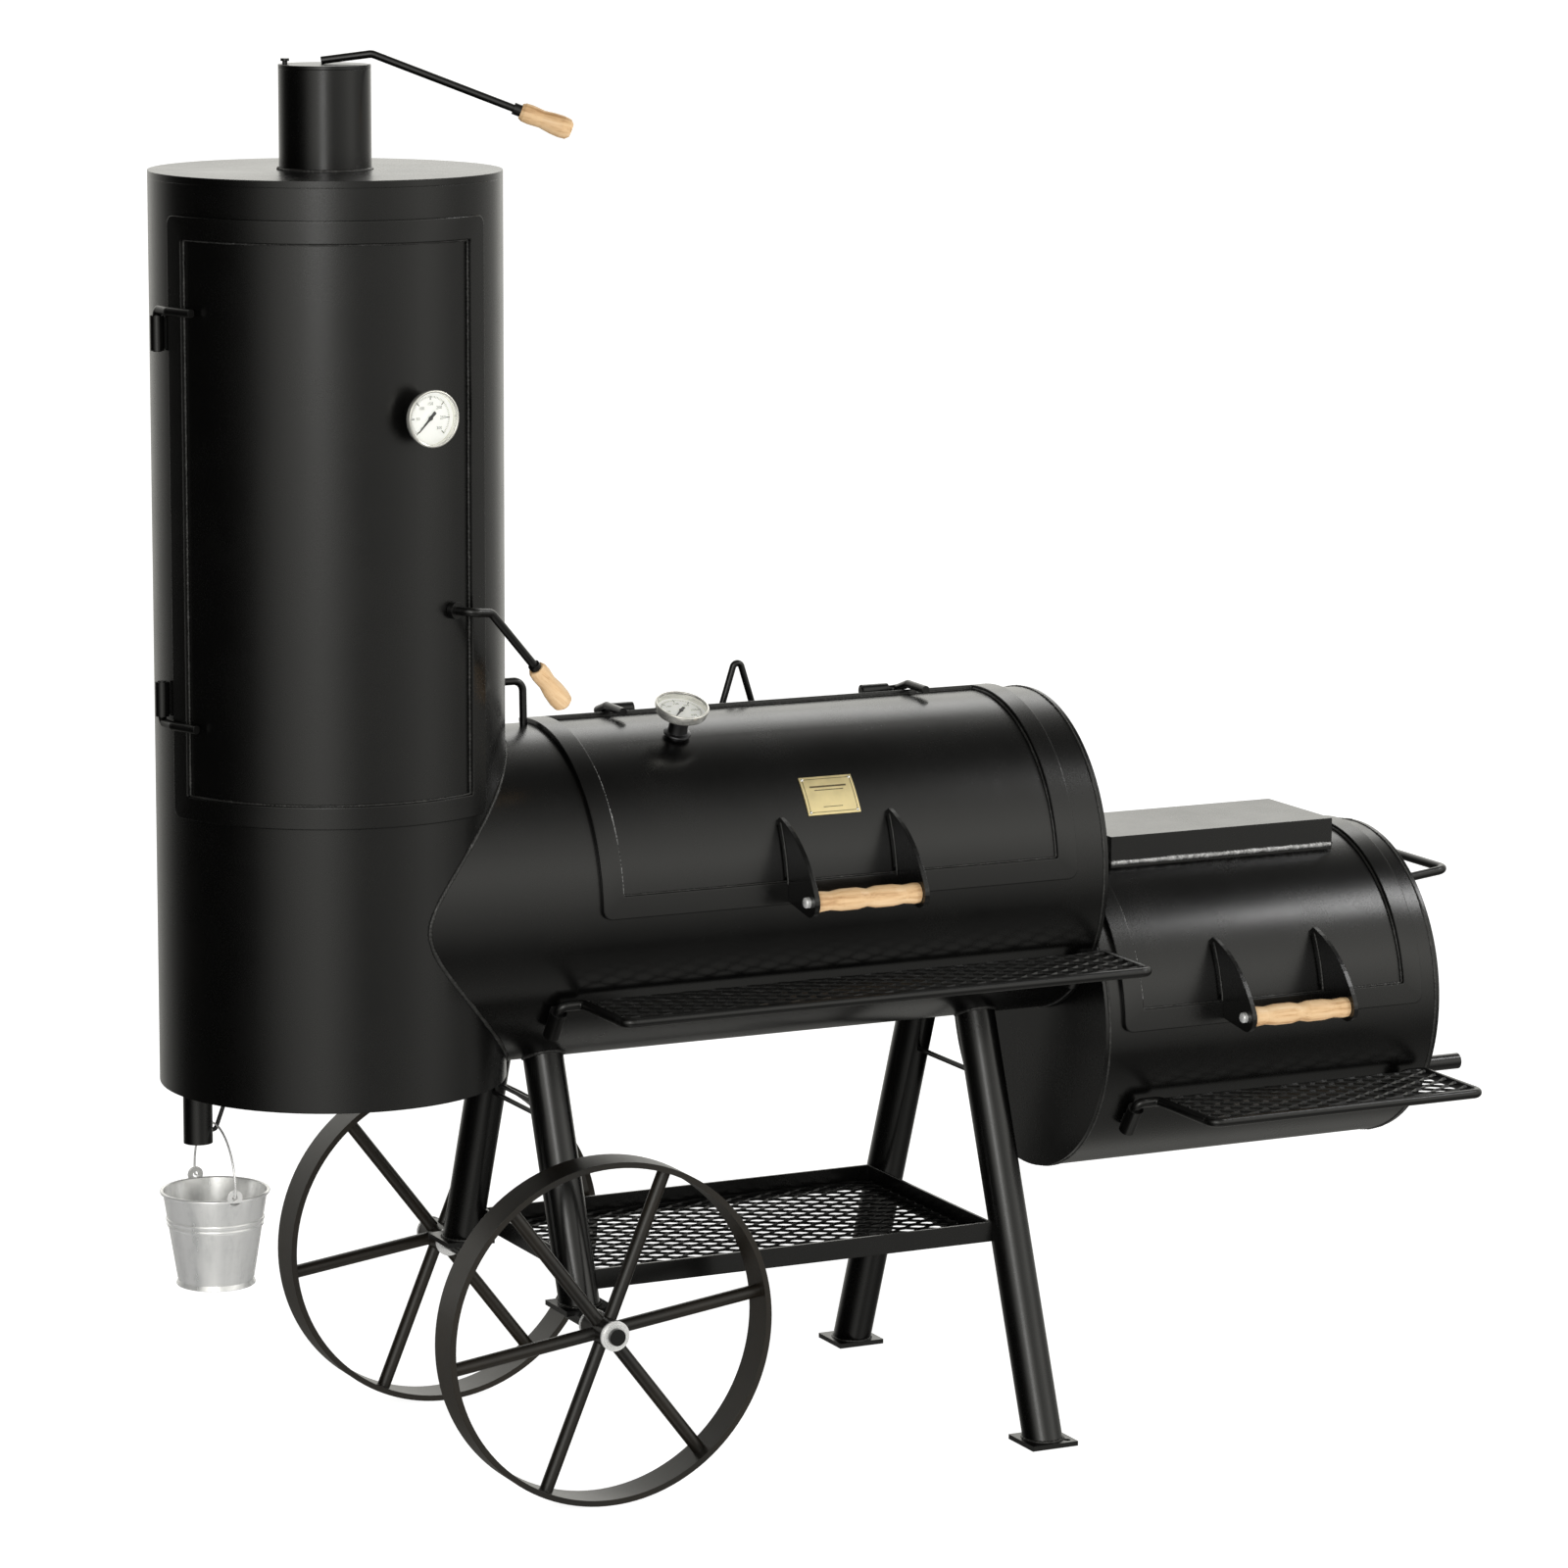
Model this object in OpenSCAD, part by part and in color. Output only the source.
// Offset smoker: an upright smoking tower, a level cooking chamber and a lower firebox,
// on an A-frame with two spoked wheels. All sizes are in millimetres.
// Most places are measured from the tower's axis and the ground, in the plane of the pipes' axes;
// in_frame() then moves them so that the origin is at the bottom centre of the whole smoker.
// Angles around a level pipe run from the back (0) over the top (90) to the front (180).
// Angles around the tower run from the chamber side (0), with the front at -90.

/* [Pipes] */
// Outside diameter of the tower pipe
tower_od = 406; // [402:1:412]
// Height of the tower's bottom edge above the ground
tower_bottom = 482; // [478:1:484]
// Height of the tower pipe with its floor and its cap
tower_h = 1061; // [1000:1:1100]
// Outside diameter of the chamber pipe and of the firebox pipe
pipe_od = 398; // [390:1:400]
// Wall of every pipe and thickness of every end plate
wall = 6; // [4:0.5:6]
// Height of the chamber's axis above the ground
chamber_z = 683; // [683:1:690]
// Distance from the tower's axis to the chamber's far end
chamber_end = 929; // [915:1:940]
// Height of the firebox's axis above the ground
firebox_z = 480; // [470:1:490]
// Length of the firebox with both end plates
firebox_len = 478; // [470:1:500]

/* [Chimney] */
// Outside diameter of the chimney pipe
chimney_od = 106; // [100:1:110]
// Height of the chimney above the tower
chimney_h = 115; // [100:1:130]
// Direction of the damper's lever
damper_dir = -20.5; // [-40:0.5:0]

/* [Doors and lids] */
// Thickness of the raised strip around a door
strip_t = 5.6; // [4:0.1:6]
// Width of the raised strip
strip_w = 26; // [22:1:30]
// Gap between a closed door's strip and the pipe under it
rest_gap = 0.4; // [0.4:0.1:1]
// Distance between the two handle brackets of a lid
bracket_gap = 138; // [130:1:142]

/* [Running gear] */
// Outside diameter of the wheels
wheel_od = 410; // [400:1:420]
// Width of the wheel rim
rim_w = 46; // [40:1:48]
// Distance from the middle plane to a wheel's outer face
wheel_face = 270; // [268:1:280]
// Distance from the tower's axis to the axle and to the left legs
axle_x = 237.5; // [230:0.5:245]
// Distance from the tower's axis to the right legs
leg_x = 816.5; // [800:0.5:830]
// Outside diameter of the leg tubes
leg_d = 48.3; // [42:0.1:50]
// Lean of the legs
leg_lean = 20.5; // [19:0.5:22]
// Distance from the middle plane to a foot's middle
foot_y = 257; // [250:1:262]
// Side of the square foot plates
foot_size = 62; // [60:1:66]

/* [Hidden] */

// Whole smoker
tower_x = -627;
mid_y = 21;
tower_r = tower_od / 2;
tower_top = tower_bottom + tower_h;
cap_t = 8;
pipe_r = pipe_od / 2;
pipe_ri = pipe_r - wall;
firebox_end = chamber_end + firebox_len;
chimney_top = tower_top + chimney_h;
steel_black = [0.09, 0.09, 0.09];
wood_light = [0.86, 0.69, 0.47];
zinc = [0.75, 0.76, 0.77];

// Doors and lids
lap = 10;
door_gap = 2;
seat_r = pipe_r + rest_gap;
skin_r = seat_r + strip_t;
tower_seat_r = tower_r + rest_gap;
tower_skin_r = tower_seat_r + strip_t;
hinge_up = 9;
hinge_r = pipe_r + hinge_up;
tower_hinge_r = tower_r + hinge_up;
rod_d = 10;
barrel_d = 16;
barrel_len = 40;
barrel_bore = rod_d + 0.12;
chamber_lid_x = [256, 883];
chamber_lid_a = [76.5, 180.5];
firebox_lid_x = [953, 1378];
firebox_lid_a = [60, 179];
hinge_lag = 3.5;
tower_door_a = [-170.5, -53.3];
tower_door_z = [812, 1499];
tower_hinge_a = -176.4;
lid_hinge_span = 172.5;
lid_barrel_len = 35;
firebox_hinge_span = 150;

// Handle grips
grip_y = -258;
grip_up = 10;
grip_r = 13;
bracket_t = 6;
bolt_d = 8;

// Latch
latch_a = -68.5;
latch_z = 1054;
latch_out = 30;

// Thermometers
gauge_r = 32.5;
gauge_h = 13;
tower_gauge_a = -81.8;
tower_gauge_z = 1278;
lid_gauge_a = 111.6;
lid_gauge_x = 410.5;

// Running gear
wheel_r = wheel_od / 2;
axle_d = 20;
axle_end = wheel_face + 13;
axle_start = 148;
rim_t = 7;
spoke_d = 16;
spoke_turn = 22.5;
hub_d = 34;
hub_len = 56;
plate_t = 6;
axle_plate_z = wheel_r + axle_d / 2;

// Shelves
bar_d = 12;
mesh_t = 2;
chamber_shelf = [240, 932, 580];
chamber_shelf_y = [-299, -186];
firebox_shelf = [1008, 1390, 391.5];
firebox_shelf_y = [-324, -196];
socket_len = 38;
tray_z = [232, 256];
tray_y = 165;

// Firebox end
slide_z = 388;
slide_travel = 55;
slide_t = 5;
air_hole_r = 22;

// Drip bucket
bucket_at = [-145, 13.5];
bucket_rim_z = 357;
bucket_h = 113;
bucket_rim_r = 63;
bucket_base_r = 44;
hook_z = 424;
hook_d = 5;
bail_r = 67;
bail_d = 2.6;

module in_frame() translate([tower_x, mid_y, 0]) children();

// Turns shapes made around Z into shapes around a level pipe's axis at height z
module along_x(z) translate([0, 0, z]) rotate([90, 0, 90]) children();

// A round bar from point a to point b
module bar(a, b, d, fn = 32) {
    v = b - a;
    translate(a)
        rotate([0, acos(v.z / norm(v)), atan2(v.y, v.x)])
            cylinder(h = norm(v), d = d, $fn = fn);
}

function unit(v) = v / norm(v);

// A round bar bent to a radius at each of its inner points; the bends overlap the straights slightly
module bent_bar(points, d, bend = 12) {
    last = len(points) - 1;
    dirs = [for (i = [0 : last - 1]) unit(points[i + 1] - points[i])];
    turns = [for (i = [0 : last]) i == 0 || i == last ? 0 : acos(dirs[i - 1] * dirs[i])];
    run = [for (t = turns) bend * tan(t / 2)];
    for (i = [0 : last - 1])
        bar(points[i] + dirs[i] * (run[i] - min(0.8, run[i] / 2)),
            points[i + 1] - dirs[i] * (run[i + 1] - min(0.8, run[i + 1] / 2)), d);
    if (last > 1)
        for (i = [1 : last - 1]) {
            u = dirs[i - 1];
            n = unit(dirs[i] - u * (u * dirs[i]));
            w = cross(-n, u);
            c = points[i] - u * run[i] + n * bend;
            multmatrix([[-n.x, u.x, w.x, c.x], [-n.y, u.y, w.y, c.y], [-n.z, u.z, w.z, c.z], [0, 0, 0, 1]])
                rotate_extrude(angle = turns[i], $fn = 96)
                    translate([bend, 0]) circle(d = d + 0.1, $fn = 32);
        }
}

// A piece of rolled plate between two radii, two angles and two heights
module rolled(r0, r1, a, h)
    rotate([0, 0, a[0]])
        rotate_extrude(angle = a[1] - a[0], $fn = 96)
            translate([r0, h[0]]) square([r1 - r0, h[1] - h[0]]);

// Angles and lengths moved inwards by a distance d, at radius r
function in_angle(a, d, r) = [a[0] + d / r * 180 / PI, a[1] - d / r * 180 / PI];
function in_length(h, d) = [h[0] + d, h[1] - d];

// The hole in a pipe that a door or lid covers
module door_hole(r, a, h)
    rolled(r - wall - 2, r + 3, in_angle(a, lap, r), in_length(h, lap));

// The door's panel, which fills the hole, and its raised strip, which laps over the pipe
module door_panel(seat, a, h)
    rolled(seat - wall, seat, in_angle(a, lap + door_gap, seat), in_length(h, lap + door_gap));

module door_strip(seat, a, h)
    difference() {
        rolled(seat, seat + strip_t, a, h);
        rolled(seat - 1, seat + strip_t + 1, in_angle(a, strip_w, seat), in_length(h, strip_w));
    }

// Point on a level pipe: x along it, a around it, r out from its axis at height z
function on_pipe(x, a, r, z) = [x, r * cos(a), z + r * sin(a)];
// Point around the tower
function on_tower(a, r, z) = [r * cos(a), r * sin(a), z];

// ---- Tower ----

module tower_shell() in_frame() color(steel_black)
    difference() {
        translate([0, 0, tower_bottom]) cylinder(h = tower_h - cap_t, r = tower_r, $fn = 96);
        translate([0, 0, tower_bottom - 1]) cylinder(h = tower_h + 2, r = tower_r - wall, $fn = 96);
        along_x(chamber_z) cylinder(h = 300, r = pipe_ri, $fn = 96);
        door_hole(tower_r, tower_door_a, tower_door_z);
    }

// Cap plate with the flue hole, and floor plate with the drain hole
module tower_plates() in_frame() color(steel_black) {
    difference() {
        translate([0, 0, tower_top - cap_t]) cylinder(h = cap_t, r = tower_r, $fn = 96);
        translate([0, 0, tower_top - cap_t - 1]) cylinder(h = cap_t + 2, r = chimney_od / 2 - 4, $fn = 48);
    }
    difference() {
        translate([0, 0, tower_bottom]) cylinder(h = wall, r = tower_r - wall, $fn = 96);
        translate([drain_x, 0, tower_bottom - 1]) cylinder(h = wall + 2, r = drain_d / 2 - 3, $fn = 32);
    }
}

drain_x = -170;
drain_d = 34;
module drain_pipe() in_frame() color(steel_black)
    translate([drain_x, 0, tower_bottom - 64])
        difference() {
            cylinder(h = 64, d = drain_d, $fn = 48);
            translate([0, 0, -1]) cylinder(h = 66, r = drain_d / 2 - 3, $fn = 48);
        }

module bucket_hook() in_frame() color(steel_black)
    translate([bucket_at.x, bucket_at.y, 0])
        difference() {
            bent_bar([[23, 0, tower_bottom + 3], [0, 0, hook_z], [-8, 0, hook_z + 8]], hook_d, 5);
            translate([0, -10, tower_bottom]) cube([40, 20, 10]);
        }

module chimney_pipe() in_frame() color(steel_black)
    difference() {
        translate([0, 0, tower_top]) cylinder(h = chimney_h, d = chimney_od, $fn = 64);
        translate([0, 0, tower_top - 1]) cylinder(h = chimney_h + 2, r = chimney_od / 2 - 4, $fn = 64);
    }

damper_pin_r = 45;
damper_t = 4;
module at_damper_pin() rotate([0, 0, damper_dir]) translate([-damper_pin_r, 0, 0]) children();

module damper_pin() in_frame() color(steel_black) at_damper_pin() {
    intersection() {
        translate([0, 0, chimney_top - 24]) cylinder(h = 24, d = 12, $fn = 32);
        translate([damper_pin_r, 0, chimney_top - 30]) cylinder(h = 40, r = chimney_od / 2 - 4, $fn = 64);
    }
    translate([0, 0, chimney_top]) cylinder(h = 10, d = 6, $fn = 32);
    translate([0, 0, chimney_top + 8]) cylinder(h = 3, d = 10, $fn = 32);
}

// The damper's disc lies on the pipe and swings on the pin; its bent lever is welded on top
lever_bend = [54, 0, chimney_top + 16];
lever_drop = 21;
lever_len = 175;
lever_end = lever_bend + lever_len * [cos(lever_drop), 0, -sin(lever_drop)];
module on_lever() rotate([0, 0, damper_dir]) translate(lever_end) rotate([0, 90 + lever_drop, 0]) children();

module chimney_damper() in_frame() color(steel_black) {
    translate([0, 0, chimney_top + 0.3])
        difference() {
            cylinder(h = damper_t, d = chimney_od, $fn = 64);
            at_damper_pin() translate([0, 0, -1]) cylinder(h = 10, d = 6.12, $fn = 32);
        }
    rotate([0, 0, damper_dir])
        bent_bar([[-4, 0, chimney_top + damper_t + 4.5], lever_bend, lever_end], 9);
    on_lever() translate([0, 0, -2]) cylinder(h = 9, d = 14, $fn = 32);
}

// A turned grip, drawn along Z from its ferrule end
module end_grip(len)
    rotate_extrude($fn = 64)
        polygon([[0, 0], [9, 0], [11, 4], [11.5, 12], [10.5, 26], [12.5, 40], [13, len - 12], [12, len - 4],
            [8, len], [0, len]]);

module damper_grip() in_frame() color(wood_light) on_lever() translate([0, 0, 7]) end_grip(62);

// ---- Tower door ----

module tower_door() in_frame() color(steel_black)
    difference() {
        door_panel(tower_seat_r, tower_door_a, tower_door_z);
        at_latch() translate([0, 0, -20]) cylinder(h = 40, d = rod_d + 0.12, $fn = 32);
        at_tower_gauge() translate([0, 0, -50]) cylinder(h = 60, d = 8.2, $fn = 32);
    }

module tower_door_strip() in_frame() color(steel_black)
    door_strip(tower_seat_r, tower_door_a, tower_door_z);

// Heights of the two barrels, and which way each rod leaves its barrel
tower_hinges = [[1344.5, 1], [925.5, -1]];

module tower_hinge_rod(z, up) {
    foot_z = up > 0 ? z - 1 : z + barrel_len + 1;
    turn_z = up > 0 ? z + barrel_len + 7 : z - 7;
    difference() {
        bent_bar([on_tower(tower_hinge_a, tower_hinge_r, foot_z),
            on_tower(tower_hinge_a, tower_hinge_r, turn_z), on_tower(-168, tower_skin_r + 6,
            turn_z), on_tower(-157, tower_skin_r + 4.5, turn_z)], rod_d, 7);
        translate([0, 0, turn_z - 6]) cylinder(h = 12, r = tower_skin_r, $fn = 96);
    }
}

module tower_door_hinge_rods() in_frame() color(steel_black)
    for (h = tower_hinges)
        tower_hinge_rod(h[0], h[1]);

// Moves to the latch's axis: local Z points out of the door, local X along it to the right
module at_latch()
    translate([0, 0, latch_z])
        rotate([0, 0, latch_a])
            translate([tower_seat_r, 0, 0])
                rotate([90, 0, 90]) children();

latch_path = [[32, -4, latch_out], [102, -73, latch_out]];
latch_grip_dir = unit([50, -52, 0]);
latch_grip_at = latch_path[1] + latch_grip_dir * 3;
module tower_latch() in_frame() color(steel_black) at_latch() {
    bent_bar([[0, 0, -wall - 14], [0, 0, latch_out], latch_path[0], latch_path[1]], rod_d, 12);
    translate(latch_path[1]) rotate([0, 90, atan2(latch_grip_dir.y, latch_grip_dir.x)])
        translate([0, 0, -3]) cylinder(h = 6, d = 14, $fn = 32);
    translate([0, 0, 0.4]) cylinder(h = 8, d = 20, $fn = 48);
    // the tongue turns behind the edge of the door hole
    translate([-8, -54, -wall - 15]) cube([16, 62, 4]);
}

module tower_latch_grip() in_frame() color(wood_light) at_latch()
    translate(latch_grip_at)
        rotate([0, 90, atan2(latch_grip_dir.y, latch_grip_dir.x)])
            end_grip(66);

// ---- Thermometers: local Z points out through the dial ----

module gauge_case(stem_len) {
    difference() {
        cylinder(h = gauge_h, r = gauge_r, $fn = 64);
        translate([0, 0, 2]) cylinder(h = gauge_h, r = gauge_r - 3, $fn = 64);
    }
    translate([0, 0, -stem_len]) cylinder(h = stem_len, d = 8, $fn = 32);
    translate([0, 0, -14]) cylinder(h = 14, d = 17, $fn = 6);
}

module gauge_dial()
    translate([0, 0, 2])
        difference() {
            cylinder(h = 1.5, r = gauge_r - 3, $fn = 64);
            translate([0, 0, -1]) cylinder(h = 4, d = 4, $fn = 32);
        }

module gauge_glass() translate([0, 0, gauge_h - 3]) cylinder(h = 2, r = gauge_r - 3, $fn = 64);

module gauge_pointer()
    rotate([0, 0, 135]) {
        translate([0, 0, 4.3])
            linear_extrude(height = 1) {
                circle(r = 3.2, $fn = 32);
                polygon([[-0.9, 0], [0.9, 0], [0.4, 22], [-0.4, 22]]);
                polygon([[-1.8, 0], [1.8, 0], [1.8, -12], [-1.8, -12]]);
            }
        translate([0, 0, 2.5]) cylinder(h = 2, d = 3.8, $fn = 32);
    }

module at_tower_gauge()
    translate([0, 0, tower_gauge_z])
        rotate([0, 0, tower_gauge_a])
            translate([tower_seat_r + 22, 0, 0])
                rotate([90, 0, 90]) children();

module at_lid_gauge()
    translate(on_pipe(lid_gauge_x, lid_gauge_a, seat_r + 30, chamber_z))
        rotate([lid_gauge_a - 90, 0, 0]) children();

module tower_thermometer() in_frame() color(zinc) at_tower_gauge() gauge_case(70);
module tower_dial() in_frame() color("white") at_tower_gauge() gauge_dial();
module tower_glass() in_frame() color([0.8, 0.9, 0.95, 0.4]) at_tower_gauge() gauge_glass();
module tower_pointer() in_frame() color("black") at_tower_gauge() gauge_pointer();
module lid_thermometer() in_frame() color(zinc) at_lid_gauge() gauge_case(75);
module lid_dial() in_frame() color("white") at_lid_gauge() gauge_dial();
module lid_glass() in_frame() color([0.8, 0.9, 0.95, 0.4]) at_lid_gauge() gauge_glass();
module lid_pointer() in_frame() color("black") at_lid_gauge() gauge_pointer();

// ---- Chamber ----

module chamber_shell() in_frame() color(steel_black)
    difference() {
        along_x(chamber_z) cylinder(h = chamber_end - wall, r = pipe_r, $fn = 96);
        along_x(chamber_z) translate([0, 0, -1]) cylinder(h = chamber_end + 2, r = pipe_ri, $fn = 96);
        translate([0, 0, 300]) cylinder(h = 800, r = tower_r, $fn = 96);
        along_x(chamber_z) door_hole(pipe_r, chamber_lid_a, chamber_lid_x);
    }

// The smoke throat is the lens that two circles share, one on each pipe's axis
throat_r = 150;
module throat()
    intersection() {
        translate([0, chamber_z]) circle(r = throat_r, $fn = 64);
        translate([0, firebox_z]) circle(r = throat_r, $fn = 64);
    }

module end_disc(x, z)
    translate([x, 0, 0])
        rotate([90, 0, 90])
            linear_extrude(height = wall) {
                difference() {
                    translate([0, z]) circle(r = pipe_r, $fn = 96);
                    throat();
                }
            }

// The chamber's end plate and the firebox's inner plate, welded face to face
module throat_plates() in_frame() color(steel_black) {
    end_disc(chamber_end - wall, chamber_z);
    end_disc(chamber_end, firebox_z);
}

// Fixed barrels that the bent hinge rods turn in, on a small saddle
module barrel(len)
    difference() {
        cylinder(h = len, d = barrel_d, $fn = 48);
        translate([0, 0, -1]) cylinder(h = len + 2, d = barrel_bore, $fn = 48);
    }

module saddle(len, r)
    difference() {
        translate([r - 3, -3, 2]) cube([hinge_up - 4, 6, len - 4]);
        translate([0, 0, -1]) cylinder(h = len + 2, r = r, $fn = 96);
    }

// A barrel on a level pipe, its middle at x
module pipe_barrel(x, a, z)
    along_x(z) translate([0, 0, x - lid_barrel_len / 2]) rotate([0, 0, a]) {
        translate([hinge_r, 0, 0]) barrel(lid_barrel_len);
        saddle(lid_barrel_len, pipe_r);
    }

chamber_hinge_a = chamber_lid_a[0] - hinge_lag;
firebox_hinge_a = firebox_lid_a[0] - hinge_lag;
chamber_lid_mid = (chamber_lid_x[0] + chamber_lid_x[1]) / 2;
firebox_lid_mid = (firebox_lid_x[0] + firebox_lid_x[1]) / 2;

module hinge_barrels() in_frame() color(steel_black) {
    for (h = tower_hinges)
        translate([0, 0, h[0]]) rotate([0, 0, tower_hinge_a]) {
            translate([tower_hinge_r, 0, 0]) barrel(barrel_len);
            saddle(barrel_len, tower_r);
        }
    for (side = [-1, 1]) {
        pipe_barrel(chamber_lid_mid + side * lid_hinge_span, chamber_hinge_a, chamber_z);
        pipe_barrel(firebox_lid_mid + side * firebox_hinge_span, firebox_hinge_a, firebox_z);
    }
}

// A lid's bent hinge rod: through the barrel at x, then forward onto the lid
module lid_hinge_rod(x, side, a, z) {
    start = x - side * (lid_barrel_len / 2 + 1);
    turn = x + side * (lid_barrel_len / 2 + 13);
    difference() {
        bent_bar([on_pipe(start, a, hinge_r, z), on_pipe(turn, a, hinge_r, z),
            on_pipe(turn, a + 9, skin_r + 6.5, z), on_pipe(turn, a + 22, skin_r + 4.5, z)], rod_d, 8);
        along_x(z) translate([0, 0, turn - 6]) cylinder(h = 12, r = skin_r, $fn = 96);
    }
}

// Inverted V of bent rod behind the lid, which the open lid leans on, and the rod from tower to chamber
rest_half = 27;
rest_x = chamber_lid_mid + 4;
rest_y = 99;
module stay_rods() in_frame() color(steel_black)
    difference() {
        union() {
            bent_bar([[rest_x - rest_half, rest_y, rest_foot_z], [rest_x, rest_y, 935],
                [rest_x + rest_half, rest_y, rest_foot_z]], 8, 6);
            bent_bar([[tower_r - 2, 0, 935], [244, 0, 935], [245, 0, chamber_z + pipe_r - 3]], 9, 12);
        }
        translate([0, 0, 900]) cylinder(h = 100, r = tower_r, $fn = 96);
        along_x(chamber_z) cylinder(h = chamber_end, r = pipe_r, $fn = 96);
    }
rest_foot_z = chamber_z + sqrt(pow(pipe_r, 2) - pow(rest_y, 2)) - 6;

// ---- Lids ----

// Side view of a handle bracket, around the pipe's axis: a fin from its tip on the lid to the round
// nose that holds the grip
bracket_tip_a = 151.3;
bracket_nose_a = 155;
bracket_nose_r = 18;
bracket_sweep_r = 160;
module bracket_outline() {
    tip = skin_r * [cos(bracket_tip_a), sin(bracket_tip_a)];
    nose = [grip_y, grip_up] + bracket_nose_r * [cos(bracket_nose_a), sin(bracket_nose_a)];
    chord = tip - nose;
    out = unit([-chord.y, chord.x]);
    centre = (tip + nose) / 2 - out * sqrt(pow(bracket_sweep_r, 2) - chord * chord / 4);
    first = atan2(tip.y - centre.y, tip.x - centre.x);
    last = atan2(nose.y - centre.y, nose.x - centre.x);
    difference() {
        polygon(concat(
            [for (i = [0 : 12]) let (a = first + (last - first) * i / 12)
                centre + bracket_sweep_r * [cos(a), sin(a)]],
            [for (i = [1 : 9]) let (a = bracket_nose_a + (275 - bracket_nose_a) * i / 9)
                [grip_y, grip_up] + bracket_nose_r * [cos(a), sin(a)]],
            [[-pipe_r + 2, 3], [-pipe_r + 16, 3], [tip.x + 14, tip.y - 8]]));
        circle(r = seat_r, $fn = 96);
        intersection() {
            circle(r = skin_r, $fn = 96);
            translate([-300, -50]) square([200, 80]);
        }
        translate([grip_y, grip_up]) circle(d = bolt_d + 0.3, $fn = 32);
    }
}

module lid_brackets(mid, z)
    for (side = [-1, 1])
        translate([mid + side * (bracket_gap / 2 + bracket_t / 2) - bracket_t / 2, 0, z])
            rotate([90, 0, 90])
                linear_extrude(height = bracket_t) bracket_outline();

// Turned wooden grip between the brackets, thinner at its ends and in its middle
module lid_grip(mid, z) {
    half = bracket_gap / 2 - 0.5;
    translate([mid, grip_y, z + grip_up])
        rotate([0, 90, 0])
            difference() {
                rotate_extrude($fn = 64)
                    polygon([[0, -half], [12, -half], [12.5, -half + 6], [11, -half + 20],
                        [grip_r, -half / 2], [grip_r, -12], [10.5, 0], [grip_r, 12], [grip_r,
                        half / 2], [11, half - 20],
                        [12.5, half - 6], [12, half], [0, half]]);
                translate([0, 0, -half - 1]) cylinder(h = 2 * half + 2, d = bolt_d + 0.3, $fn = 32);
            }
}

module grip_bolt(mid, z)
    translate([mid, grip_y, z + grip_up])
        rotate([0, 90, 0])
            for (side = [-1, 1])
                mirror([0, 0, side > 0 ? 0 : 1]) {
                    cylinder(h = bracket_gap / 2 + bracket_t, d = bolt_d, $fn = 32);
                    translate([0, 0, bracket_gap / 2 + bracket_t]) cylinder(h = 4, d = 13, $fn = 32);
                }

module chamber_lid() in_frame() color(steel_black)
    difference() {
        along_x(chamber_z) door_panel(seat_r, chamber_lid_a, chamber_lid_x);
        at_lid_gauge() translate([0, 0, -50]) cylinder(h = 60, d = 8.2, $fn = 32);
    }

module chamber_lid_strip() in_frame() color(steel_black)
    along_x(chamber_z) door_strip(seat_r, chamber_lid_a, chamber_lid_x);

module chamber_lid_fittings() in_frame() color(steel_black) {
    lid_brackets(chamber_lid_mid, chamber_z);
    for (side = [-1, 1])
        lid_hinge_rod(chamber_lid_mid + side * lid_hinge_span, side, chamber_hinge_a, chamber_z);
}

module chamber_lid_grip() in_frame() color(wood_light) lid_grip(chamber_lid_mid, chamber_z);
module chamber_grip_bolt() in_frame() color(zinc) grip_bolt(chamber_lid_mid, chamber_z);

plate_a = [137, 151.3];
module blank_plate() in_frame() color([0.8, 0.65, 0.35])
    along_x(chamber_z)
        rolled(seat_r, seat_r + 1.5, plate_a, [chamber_lid_mid - 34.5, chamber_lid_mid + 34.5]);

module firebox_lid() in_frame() color(steel_black)
    along_x(firebox_z) door_panel(seat_r, firebox_lid_a, firebox_lid_x);

module firebox_lid_strip() in_frame() color(steel_black)
    along_x(firebox_z) door_strip(seat_r, firebox_lid_a, firebox_lid_x);

// The firebox lid's handle is welded on a little higher round the pipe than the chamber lid's
firebox_handle_turn = 2.5;
module at_firebox_handle()
    translate([0, 0, firebox_z])
        rotate([-firebox_handle_turn, 0, 0])
            children();

module firebox_lid_fittings() in_frame() color(steel_black) {
    at_firebox_handle() lid_brackets(firebox_lid_mid, 0);
    for (side = [-1, 1])
        lid_hinge_rod(firebox_lid_mid + side * firebox_hinge_span, side, firebox_hinge_a, firebox_z);
}

module firebox_lid_grip() in_frame() color(wood_light) at_firebox_handle() lid_grip(firebox_lid_mid, 0);
module firebox_grip_bolt() in_frame() color(zinc) at_firebox_handle() grip_bolt(firebox_lid_mid, 0);

// Flat plate on folded sides, welded on the firebox lid's crown
hot_plate_x = [1000, 1318];
hot_plate_y = [-80, 74];
hot_plate_top = 702;
module hot_plate() in_frame() color(steel_black)
    difference() {
        translate([hot_plate_x[0], hot_plate_y[0], 600])
            cube([hot_plate_x[1] - hot_plate_x[0], hot_plate_y[1] - hot_plate_y[0], hot_plate_top - 600]);
        translate([hot_plate_x[0] + 4, hot_plate_y[0] + 4, 590])
            cube([hot_plate_x[1] - hot_plate_x[0] - 8, hot_plate_y[1] - hot_plate_y[0] - 8,
                hot_plate_top - 595]);
        along_x(firebox_z) translate([0, 0, 900]) cylinder(h = 600, r = seat_r, $fn = 96);
    }

// ---- Firebox ----

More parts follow.
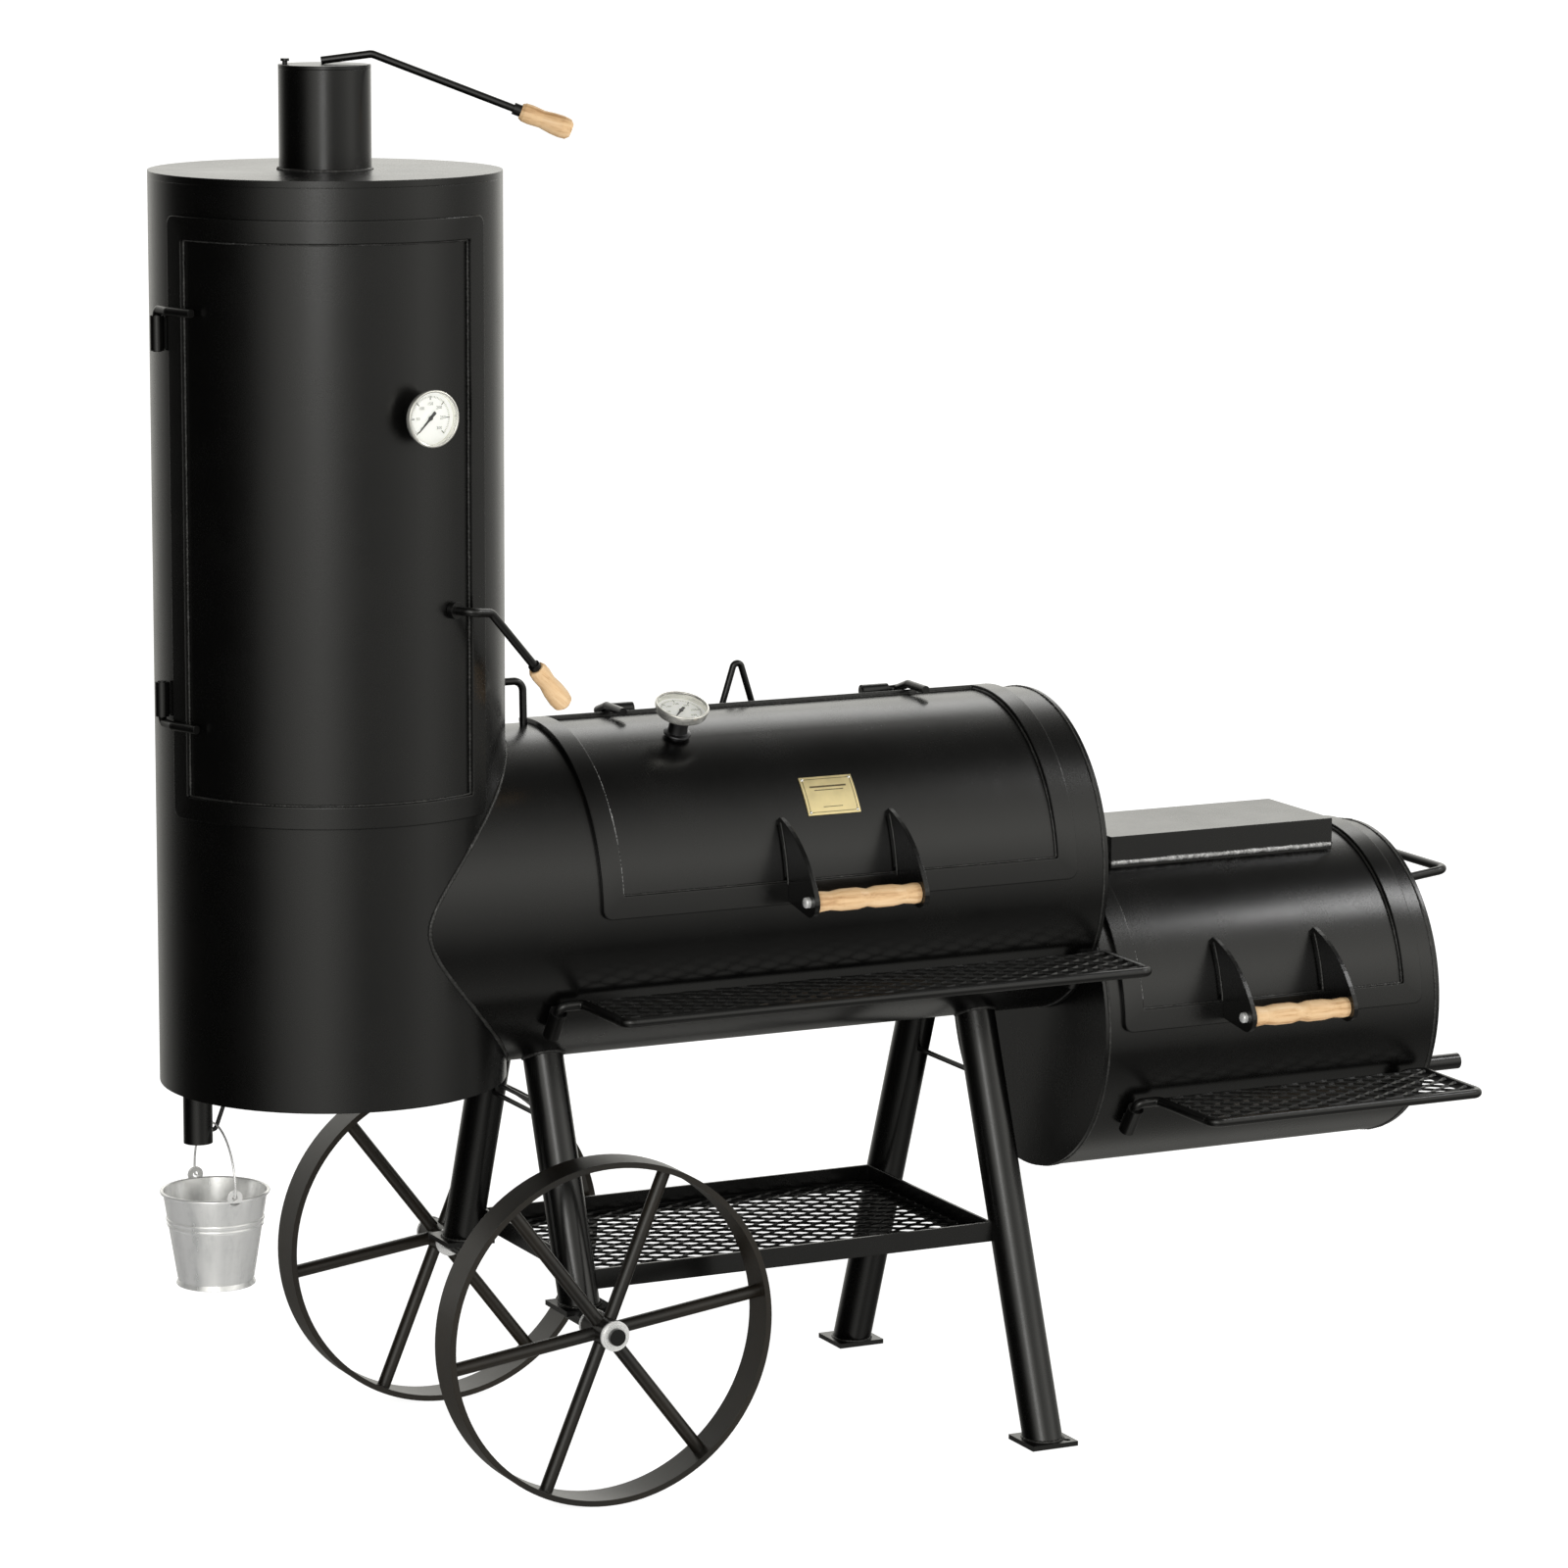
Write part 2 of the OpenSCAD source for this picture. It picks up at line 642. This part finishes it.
module firebox_shell() in_frame() color(steel_black)
    along_x(firebox_z)
        difference() {
            translate([0, 0, chamber_end + wall])
                cylinder(h = firebox_len - 2 * wall, r = pipe_r, $fn = 96);
            translate([0, 0, chamber_end]) cylinder(h = firebox_len, r = pipe_ri, $fn = 96);
            door_hole(pipe_r, firebox_lid_a, firebox_lid_x);
        }

module firebox_outer_plate() in_frame() color(steel_black)
    difference() {
        along_x(firebox_z) translate([0, 0, firebox_end - wall]) cylinder(h = wall, r = pipe_r, $fn = 96);
        for (y = [-60, 60])
            translate([firebox_end - wall - 1, y, slide_z])
                rotate([0, 90, 0]) cylinder(h = wall + 2, r = air_hole_r, $fn = 48);
    }

// Two stepped rails hold the slide against the end plate
slide_half = 26;
module air_slide_rails() in_frame() color(steel_black)
    for (side = [-1, 1])
        translate([firebox_end, -95, slide_z])
            scale([1, 1, side])
                difference() {
                    translate([0, 0, slide_half - 3]) cube([slide_t + 5, 190, 11]);
                    translate([-1, -1, slide_half - 4]) cube([slide_t + 2, 192, 4.5]);
                }

module air_slide() in_frame() color(steel_black) {
    difference() {
        translate([firebox_end + 0.4, -152, slide_z - slide_half]) cube([slide_t, 246, 2 * slide_half]);
        for (y = [-60, 60])
            translate([firebox_end - 1, y - slide_travel, slide_z])
                rotate([0, 90, 0]) cylinder(h = slide_t + 4, r = air_hole_r, $fn = 48);
    }
    translate([firebox_end + 0.4 + slide_t, -143, slide_z])
        rotate([0, 90, 0]) cylinder(h = 60, d = 20, $fn = 48);
}

module firebox_pull_handle() in_frame() color(steel_black)
    difference() {
        bent_bar([[firebox_end - 4, -115, 623.5], [firebox_end + 60, -115, 631], [firebox_end + 60, 115, 631],
            [firebox_end - 4, 115, 623.5]], 11, 14);
        translate([firebox_end - 20, -130, 600]) cube([20, 260, 60]);
    }

// ---- Inside ----

rack_r = 160;
rack_levels = [950, 1130, 1310];
grate_z = 664;
fire_grate_z = 392;
module grate_rails() in_frame() color(steel_black) {
    intersection() {
        for (z = rack_levels)
            for (side = [-1, 1])
                rotate([0, 0, -112])
                    translate([-62, side > 0 ? 146 : -206, z]) cube([124, 60, 3]);
        cylinder(h = tower_top, r = tower_r - wall, $fn = 96);
    }
    intersection() {
        for (side = [-1, 1])
            translate([216, side > 0 ? 164 : -200, grate_z - 3]) cube([690, 36, 3]);
        along_x(chamber_z) cylinder(h = chamber_end, r = pipe_ri, $fn = 96);
    }
    intersection() {
        for (side = [-1, 1])
            translate([945, side > 0 ? 140 : -190, fire_grate_z - 3]) cube([440, 50, 3]);
        along_x(firebox_z) cylinder(h = firebox_end, r = pipe_ri, $fn = 96);
    }
}

module round_rack(z)
    translate([0, 0, z]) {
        rotate_extrude($fn = 64) translate([rack_r - 4, 4]) circle(r = 4, $fn = 24);
        for (i = [-6 : 6]) {
            x = i * 23;
            half = sqrt(pow(rack_r - 4, 2) - x * x);
            bar([x, -half, 4], [x, half, 4], 5, 24);
        }
    }

module tower_racks() in_frame() color([0.5, 0.5, 0.5])
    for (z = rack_levels)
        round_rack(z + 3);

module flat_grate(x0, x1, half_y, z, bar_t, pitch) {
    edge_t = bar_t + 3;
    mid = z + edge_t / 2;
    for (side = [-1, 1])
        bar([x0, side * half_y, mid], [x1, side * half_y, mid], edge_t, 32);
    for (x = [x0 + edge_t / 2 : pitch : x1])
        bar([x, -half_y, mid], [x, half_y, mid], bar_t, 32);
}

module cooking_grates() in_frame() color([0.3, 0.3, 0.3]) {
    flat_grate(218, 556, 176, grate_z, 8, 25.38);
    flat_grate(566, 904, 176, grate_z, 8, 25.38);
}

module fire_grate() in_frame() color([0.3, 0.3, 0.3])
    flat_grate(950, 1380, 150, fire_grate_z, 12, 34.8);

// ---- Frame and running gear ----

function leg_at(x, side, z) = [x, side * (foot_y - z * tan(leg_lean)), z];

module leg(x, side, z0)
    difference() {
        bar(leg_at(x, side, z0 - 30), leg_at(x, side, 520), leg_d, 48);
        bar(leg_at(x, side, z0 - 40), leg_at(x, side, 530), leg_d - 6.4, 48);
        translate([x - 60, -400, z0 - 100]) cube([120, 800, 100]);
        along_x(chamber_z) cylinder(h = chamber_end, r = pipe_r, $fn = 96);
    }

module legs() in_frame() color(steel_black)
    for (side = [-1, 1]) {
        leg(axle_x, side, axle_plate_z + plate_t);
        leg(leg_x, side, plate_t);
    }

foot_hole = [21, 21];
module leg_plates() in_frame() color(steel_black)
    for (side = [-1, 1]) {
        difference() {
            translate([leg_x - foot_size / 2, side * foot_y - foot_size / 2, 0])
                cube([foot_size, foot_size, plate_t]);
            translate([leg_x + foot_hole.x, side * (foot_y + foot_hole.y), -1])
                cylinder(h = plate_t + 2, d = 9, $fn = 32);
        }
        translate([axle_x - foot_size / 2, leg_at(axle_x, side, axle_plate_z).y - foot_size / 2,
            axle_plate_z])
            cube([foot_size, foot_size, plate_t]);
    }

module leg_ties() in_frame() color(steel_black)
    difference() {
        for (t = [[axle_x, 422, 6], [axle_x, 435, 5], [leg_x, 421.5, 6.5]])
            bar(leg_at(t[0], -1, t[1]), leg_at(t[0], 1, t[1]), t[2], 32);
        for (x = [axle_x, leg_x])
            for (side = [-1, 1])
                bar(leg_at(x, side, 380), leg_at(x, side, 480), leg_d, 48);
    }

tray_x = [axle_x + leg_d / 2 - 1, leg_x - leg_d / 2 + 1];
module tray_box(inset, z0, z1)
    translate([tray_x[0] + inset, -tray_y + inset, z0])
        cube([tray_x[1] - tray_x[0] - 2 * inset, 2 * (tray_y - inset), z1 - z0]);

module lower_shelf_frame() in_frame() color(steel_black)
    difference() {
        tray_box(0, tray_z[0], tray_z[1]);
        tray_box(3, tray_z[0] + 3, tray_z[1] + 1);
        tray_box(24, tray_z[0] - 1, tray_z[1]);
        for (x = [axle_x, leg_x])
            for (side = [-1, 1])
                bar(leg_at(x, side, 180), leg_at(x, side, 320), leg_d, 48);
    }

// Expanded metal: rows of lozenge holes, every second row moved by half a pitch
module expanded_metal(x0, x1, y0, y1, z, pitch_x, pitch_y, strand) {
    nx = floor((x1 - x0 - strand) / pitch_x);
    ny = floor((y1 - y0 - strand) / (pitch_y / 2)) - 1;
    mx = (x0 + x1 - nx * pitch_x) / 2;
    my = (y0 + y1 - ny * pitch_y / 2) / 2;
    translate([0, 0, z])
        linear_extrude(height = mesh_t)
            difference() {
                translate([x0, y0]) square([x1 - x0, y1 - y0]);
                for (j = [0 : ny])
                    for (i = [0 : nx - (j % 2 == 0 ? 1 : 2)])
                        translate([mx + (i + (j % 2 == 0 ? 0.5 : 1)) * pitch_x, my + j * pitch_y / 2])
                            polygon([[-pitch_x / 2 + 2 * strand, 0], [0, -pitch_y / 2 + strand],
                                [pitch_x / 2 - 2 * strand, 0], [0, pitch_y / 2 - strand]]);
            }
}

module lower_shelf_mesh() in_frame() color(steel_black)
    expanded_metal(tray_x[0] + 4, tray_x[1] - 4, 4 - tray_y, tray_y - 4, tray_z[0] + 3, 60, 30, 3);

// A shelf's round-bar loop; its ends turn sideways and then down into the sockets, along the pipe
socket_a = 214;
socket_out = 10.5;
socket_step = 30;
// The socket starts this far below the corner of the bar that goes into it
socket_drop = 8.5;
function socket_point(pipe_z, along) =
    [(pipe_r + socket_out) * cos(socket_a) - along * sin(socket_a),
        pipe_z + (pipe_r + socket_out) * sin(socket_a) + along * cos(socket_a)];

// How far along the socket's line a shelf's level lies
function shelf_reach(level, pipe_z) = (level - socket_point(pipe_z, 0)[1]) / cos(socket_a);

module shelf_frame(s, y, pipe_z) {
    high = socket_point(pipe_z, shelf_reach(s[2], pipe_z));
    low = socket_point(pipe_z, shelf_reach(s[2], pipe_z) + socket_drop + socket_len - 12);
    for (x = [s[0], s[1]])
        bent_bar([[x, y[0] + 14, s[2]], [x, high[0], s[2]], [x - socket_step, high[0], s[2]],
            [x - socket_step, low[0], low[1]]], bar_d, 8);
    bent_bar([[s[0], y[0] + 16, s[2]], [s[0], y[0], s[2]], [s[1], y[0], s[2]], [s[1], y[0] + 16, s[2]]],
        bar_d - 0.4, 12);
    bar([s[0], y[1], s[2]], [s[1], y[1], s[2]], 8);
}

module front_shelf_frames() in_frame() color(steel_black) {
    shelf_frame(chamber_shelf, chamber_shelf_y, chamber_z);
    shelf_frame(firebox_shelf, firebox_shelf_y, firebox_z);
}

module front_shelf_meshes() in_frame() color(steel_black) {
    expanded_metal(chamber_shelf[0] + 6, chamber_shelf[1] - 6, chamber_shelf_y[0] + 6, chamber_shelf_y[1] - 4,
        chamber_shelf[2] + 3, 60, 30, 3);
    expanded_metal(firebox_shelf[0] + 6, firebox_shelf[1] - 6, firebox_shelf_y[0] + 6, firebox_shelf_y[1] - 4,
        firebox_shelf[2] + 3, 60, 30, 3);
}

module shelf_socket(s, x, pipe_z)
    difference() {
        union() {
            socket_tube(s, x, pipe_z, 20, 0);
            along_x(pipe_z) rotate([0, 0, socket_a])
                translate([pipe_r - 2, -6, x - socket_step - 4]) cube([6, 12, 8]);
        }
        socket_tube(s, x, pipe_z, bar_d + 0.2, 1);
        along_x(pipe_z) cylinder(h = firebox_end, r = pipe_r, $fn = 96);
    }

module socket_tube(s, x, pipe_z, d, extra)
    along_x(pipe_z)
        rotate([0, 0, socket_a])
            translate([pipe_r + socket_out, shelf_reach(s[2], pipe_z) + socket_drop - extra, x - socket_step])
                rotate([-90, 0, 0]) cylinder(h = socket_len + 2 * extra, d = d, $fn = 48);

module shelf_sockets() in_frame() color(steel_black)
    for (end = [0, 1]) {
        shelf_socket(chamber_shelf, chamber_shelf[end], chamber_z);
        shelf_socket(firebox_shelf, firebox_shelf[end], firebox_z);
    }

// Two short axles, each under the plate of its leg
module axle() in_frame() color(steel_black)
    for (side = [-1, 1])
        translate([axle_x, side * axle_start, wheel_r])
            rotate([-side * 90, 0, 0]) cylinder(h = axle_end - axle_start, d = axle_d, $fn = 48);

module washer_at(y, t, d)
    translate([axle_x, y + t / 2, wheel_r])
        rotate([90, 0, 0])
            difference() {
                cylinder(h = t, d = d, $fn = 48);
                translate([0, 0, -1]) cylinder(h = t + 2, d = axle_d, $fn = 48);
            }

// One washer inside and one outside each hub, and the spring clip that keeps them on
module axle_washers() in_frame() color(zinc)
    for (side = [-1, 1]) {
        washer_at(side * (wheel_face + 4.5), 3, 36);
        washer_at(side * (wheel_face + 7), 2, 30);
        washer_at(side * (wheel_face - hub_len), 3, 36);
    }

module wheel(side)
    translate([axle_x, side * (wheel_face - rim_w / 2), wheel_r])
        rotate([90, 0, 0]) {
            difference() {
                cylinder(h = rim_w, r = wheel_r, center = true, $fn = 96);
                cylinder(h = rim_w + 2, r = wheel_r - rim_t, center = true, $fn = 96);
            }
            translate([0, 0, -side * (rim_w / 2 + 2 - hub_len / 2)])
                difference() {
                    cylinder(h = hub_len, d = hub_d, center = true, $fn = 48);
                    cylinder(h = hub_len + 2, d = axle_d + 0.16, center = true, $fn = 48);
                }
            difference() {
                for (i = [0 : 5])
                    rotate([0, 0, 90 - spoke_turn - 60 * i])
                        rotate([0, 90, 0])
                            translate([0, 0, hub_d / 2 - 4])
                                cylinder(h = wheel_r - rim_t - hub_d / 2 + 5, d = spoke_d, $fn = 32);
                cylinder(h = hub_len + 2, d = axle_d + 6, center = true, $fn = 48);
            }
        }

module front_wheel() in_frame() color(steel_black) wheel(-1);
module rear_wheel() in_frame() color(steel_black) wheel(1);

// ---- Drip bucket ----

ear_z = bucket_rim_z + 3;
ear_y = bucket_rim_r + 1;
module bucket() in_frame() color(zinc)
    translate([bucket_at.x, bucket_at.y, 0]) {
        rotate_extrude($fn = 64)
            polygon([[0, bucket_rim_z - bucket_h], [bucket_base_r, bucket_rim_z - bucket_h],
                [bucket_rim_r - 1, bucket_rim_z - 3], [bucket_rim_r, bucket_rim_z],
                [bucket_rim_r - 2, bucket_rim_z],
                [bucket_base_r - 1.5, bucket_rim_z - bucket_h + 3], [0, bucket_rim_z - bucket_h + 3]]);
        for (side = [-1, 1])
            translate([0, side * ear_y + 1 - (side > 0 ? 1 : -1), 0])
                rotate([90, 0, 0])
                    linear_extrude(height = 2)
                        difference() {
                            translate([-9, bucket_rim_z - 14]) square([18, 26]);
                            translate([0, ear_z]) circle(r = bail_d / 2 + 0.15, $fn = 32);
                        }
    }

// Wire bail: through both ears and over the hook
// the wire hangs in the hook's bend, this far above the corner of the bend
bail_seat = 8.3;
bail_z = hook_z + bail_seat - bail_r;
module bucket_bail() in_frame() color(zinc)
    translate([bucket_at.x, bucket_at.y, 0]) {
        for (side = [-1, 1])
            bent_bar([[0, side * (ear_y - 3), ear_z], [0, side * bail_r, ear_z],
                [0, side * bail_r, bail_z + 4]],
                bail_d - 0.2, 2.5);
        translate([0, 0, bail_z + 3])
            rotate([90, 0, 90])
                rotate_extrude(angle = 180, $fn = 96) translate([bail_r, 0]) circle(d = bail_d, $fn = 32);
    }

tower_shell();
tower_plates();
chimney_pipe();
damper_pin();
drain_pipe();
bucket_hook();
chamber_shell();
firebox_shell();
throat_plates();
firebox_outer_plate();
air_slide_rails();
firebox_pull_handle();
hinge_barrels();
stay_rods();
grate_rails();
tower_racks();
cooking_grates();
fire_grate();
legs();
leg_plates();
leg_ties();
lower_shelf_frame();
lower_shelf_mesh();
front_shelf_frames();
front_shelf_meshes();
shelf_sockets();
axle();
axle_washers();
chimney_damper();
damper_grip();
tower_door();
tower_door_strip();
tower_door_hinge_rods();
tower_latch();
tower_latch_grip();
tower_thermometer();
tower_dial();
tower_glass();
tower_pointer();
chamber_lid();
chamber_lid_strip();
chamber_lid_fittings();
chamber_lid_grip();
chamber_grip_bolt();
blank_plate();
lid_thermometer();
lid_dial();
lid_glass();
lid_pointer();
firebox_lid();
firebox_lid_strip();
firebox_lid_fittings();
firebox_lid_grip();
firebox_grip_bolt();
hot_plate();
front_wheel();
rear_wheel();
air_slide();
bucket_bail();
bucket();
